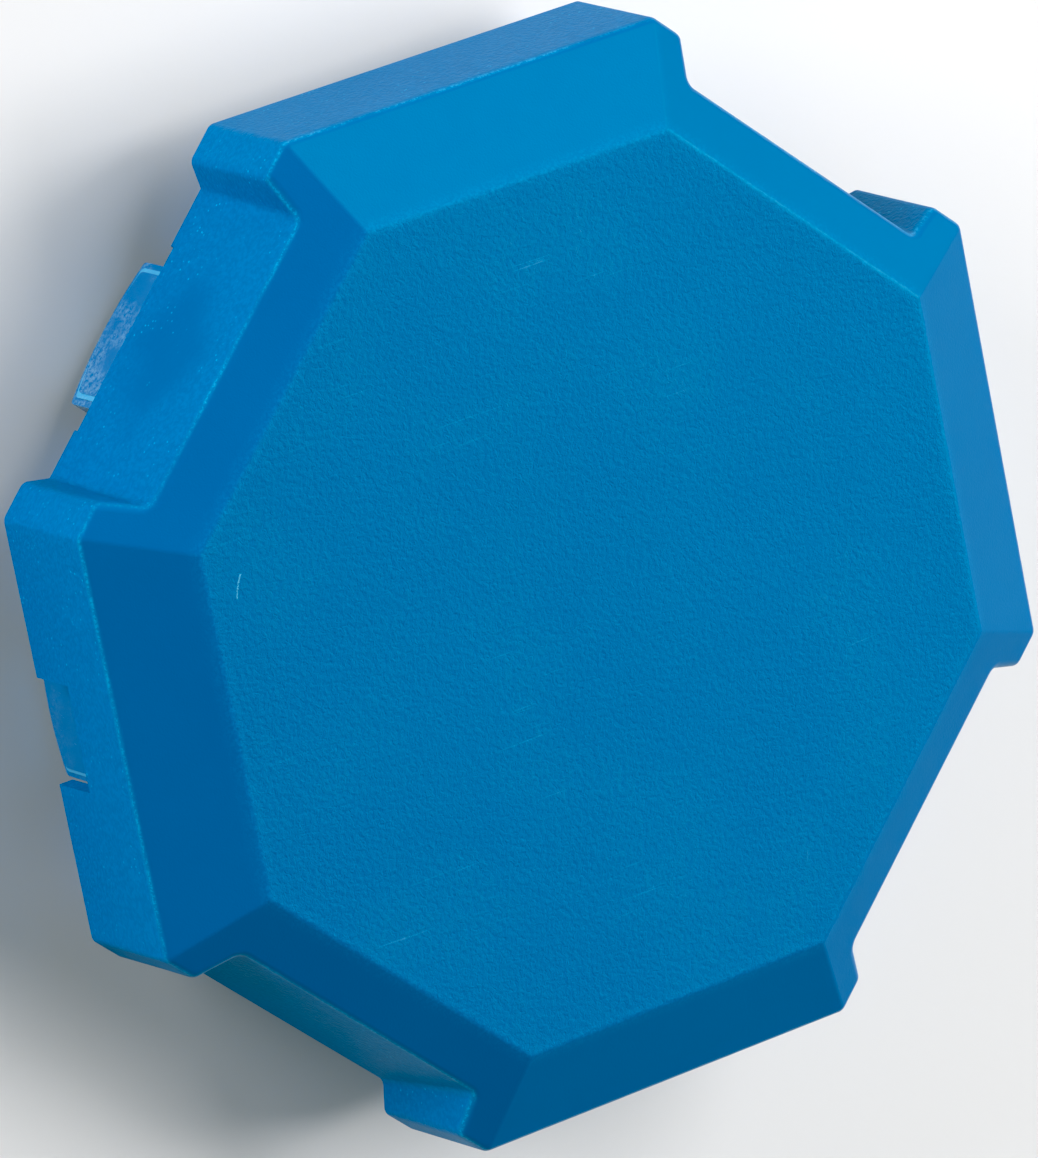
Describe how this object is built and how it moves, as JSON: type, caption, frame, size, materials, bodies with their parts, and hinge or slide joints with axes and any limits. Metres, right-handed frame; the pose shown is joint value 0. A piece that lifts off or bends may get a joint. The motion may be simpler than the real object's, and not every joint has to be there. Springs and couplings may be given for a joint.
{
  "type": "hockey puck",
  "caption": "Hollow octagonal off-ice training puck with a flat grained face, sprung release tabs at the rim and a steel weight stack inside.",
  "frame": {"origin": "centre of the rear face, on the surface the puck lies on", "axes": "+Z out of the flat grained front face, +X towards the right notch tab, +Y towards the top lobe"},
  "size_m": [0.0762, 0.0762, 0.0191],
  "materials": {
    "shell_plastic": "fine moulded leather grain on the flats, satin on bands and walls",
    "tab_plastic": "polished",
    "zinc_steel": "zinc plated sheet",
    "screw_steel": "bright zinc",
    "weight_steel": "stamped plate, oiled",
    "spring_steel": "drawn wire",
    "foam": "closed cell foam"
  },
  "bodies": {
    "base": {"rear_cover": "shell_plastic", "keeper_plate": "zinc_steel", "keeper_screws": "screw_steel", "rear_pad": "foam", "weight_plate_lower": "weight_steel", "weight_plate_middle": "weight_steel", "weight_plate_upper": "weight_steel", "upper_recess_tab_spring": "spring_steel", "lower_recess_tab_spring": "spring_steel", "left_notch_tab_spring": "spring_steel", "right_notch_tab_spring": "spring_steel"},
    "front": {"front_shell": "shell_plastic", "front_pad": "foam"},
    "upper_recess_button": {"upper_recess_tab": "tab_plastic"},
    "lower_recess_button": {"lower_recess_tab": "tab_plastic"},
    "left_notch_button": {"left_notch_tab": "tab_plastic"},
    "right_notch_button": {"right_notch_tab": "tab_plastic"}
  },
  "joints": [
    {"name": "front_shell_lift", "type": "slide", "parent": "base", "child": "front", "axis": [0, 0, 1], "range_m": [0, 0.015]},
    {"name": "upper_recess_tab_press", "type": "slide", "parent": "base", "child": "upper_recess_button", "axis": [0.7071, -0.7071, 0], "range_m": [0, 0.0012], "stiffness_N_per_m": 1500, "springref_m": -0.001, "deforming": ["upper_recess_tab_spring"]},
    {"name": "lower_recess_tab_press", "type": "slide", "parent": "base", "child": "lower_recess_button", "axis": [-0.7071, 0.7071, 0], "range_m": [0, 0.0012], "stiffness_N_per_m": 1500, "springref_m": -0.001, "deforming": ["lower_recess_tab_spring"]},
    {"name": "left_notch_tab_press", "type": "slide", "parent": "base", "child": "left_notch_button", "axis": [1, 0, 0], "range_m": [0, 0.0012], "stiffness_N_per_m": 1500, "springref_m": -0.001, "deforming": ["left_notch_tab_spring"]},
    {"name": "right_notch_tab_press", "type": "slide", "parent": "base", "child": "right_notch_button", "axis": [-1, 0, 0], "range_m": [0, 0.0012], "stiffness_N_per_m": 1500, "springref_m": -0.001, "deforming": ["right_notch_tab_spring"]}
  ]
}
